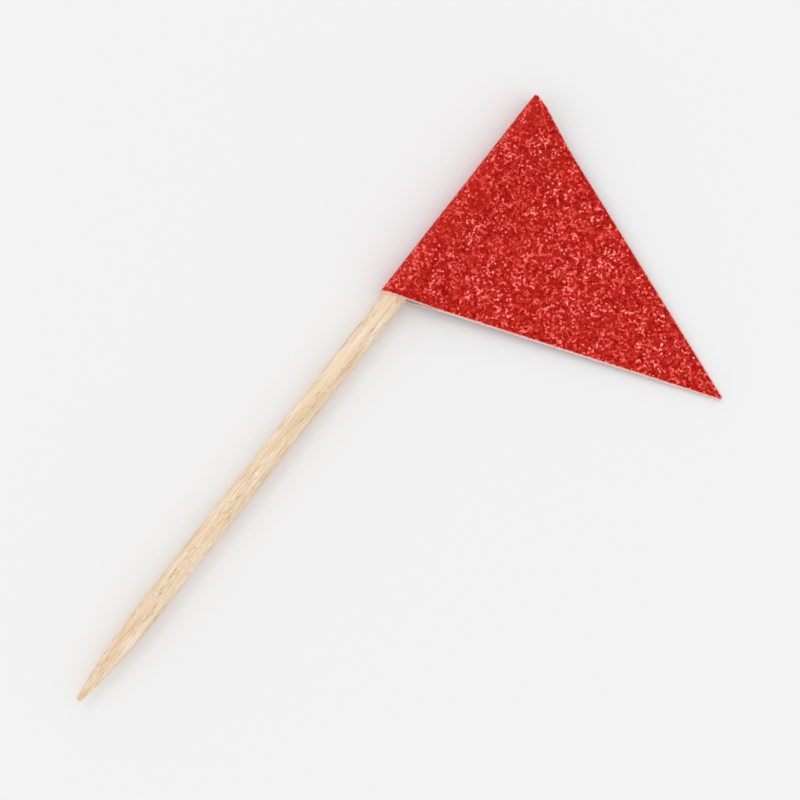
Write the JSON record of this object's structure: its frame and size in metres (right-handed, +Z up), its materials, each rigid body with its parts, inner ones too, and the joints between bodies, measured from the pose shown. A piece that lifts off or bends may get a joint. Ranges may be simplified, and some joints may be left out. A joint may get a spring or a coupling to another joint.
{
  "type": "flag toothpick",
  "caption": "Round wooden pick with a blunt taper, carrying a pennant of red glitter paper folded and glued round its other end, lying flat.",
  "frame": {"origin": "on the table under the middle of the part's box, with the part lying as it rests", "axes": "+X along the pick from its point to the flag, the flag flies towards -Y, and +Z is up from the table"},
  "size_m": [0.067, 0.0294, 0.0026],
  "materials": {
    "pale_wood": "bare, lightly sanded, with fine long grain",
    "glitter_paper": "red glitter coat with pale sparkles, and bare pale paper at the cut edges"
  },
  "bodies": {
    "root": {"toothpick": "pale_wood", "paper_flag": "glitter_paper"}
  },
  "joints": []
}
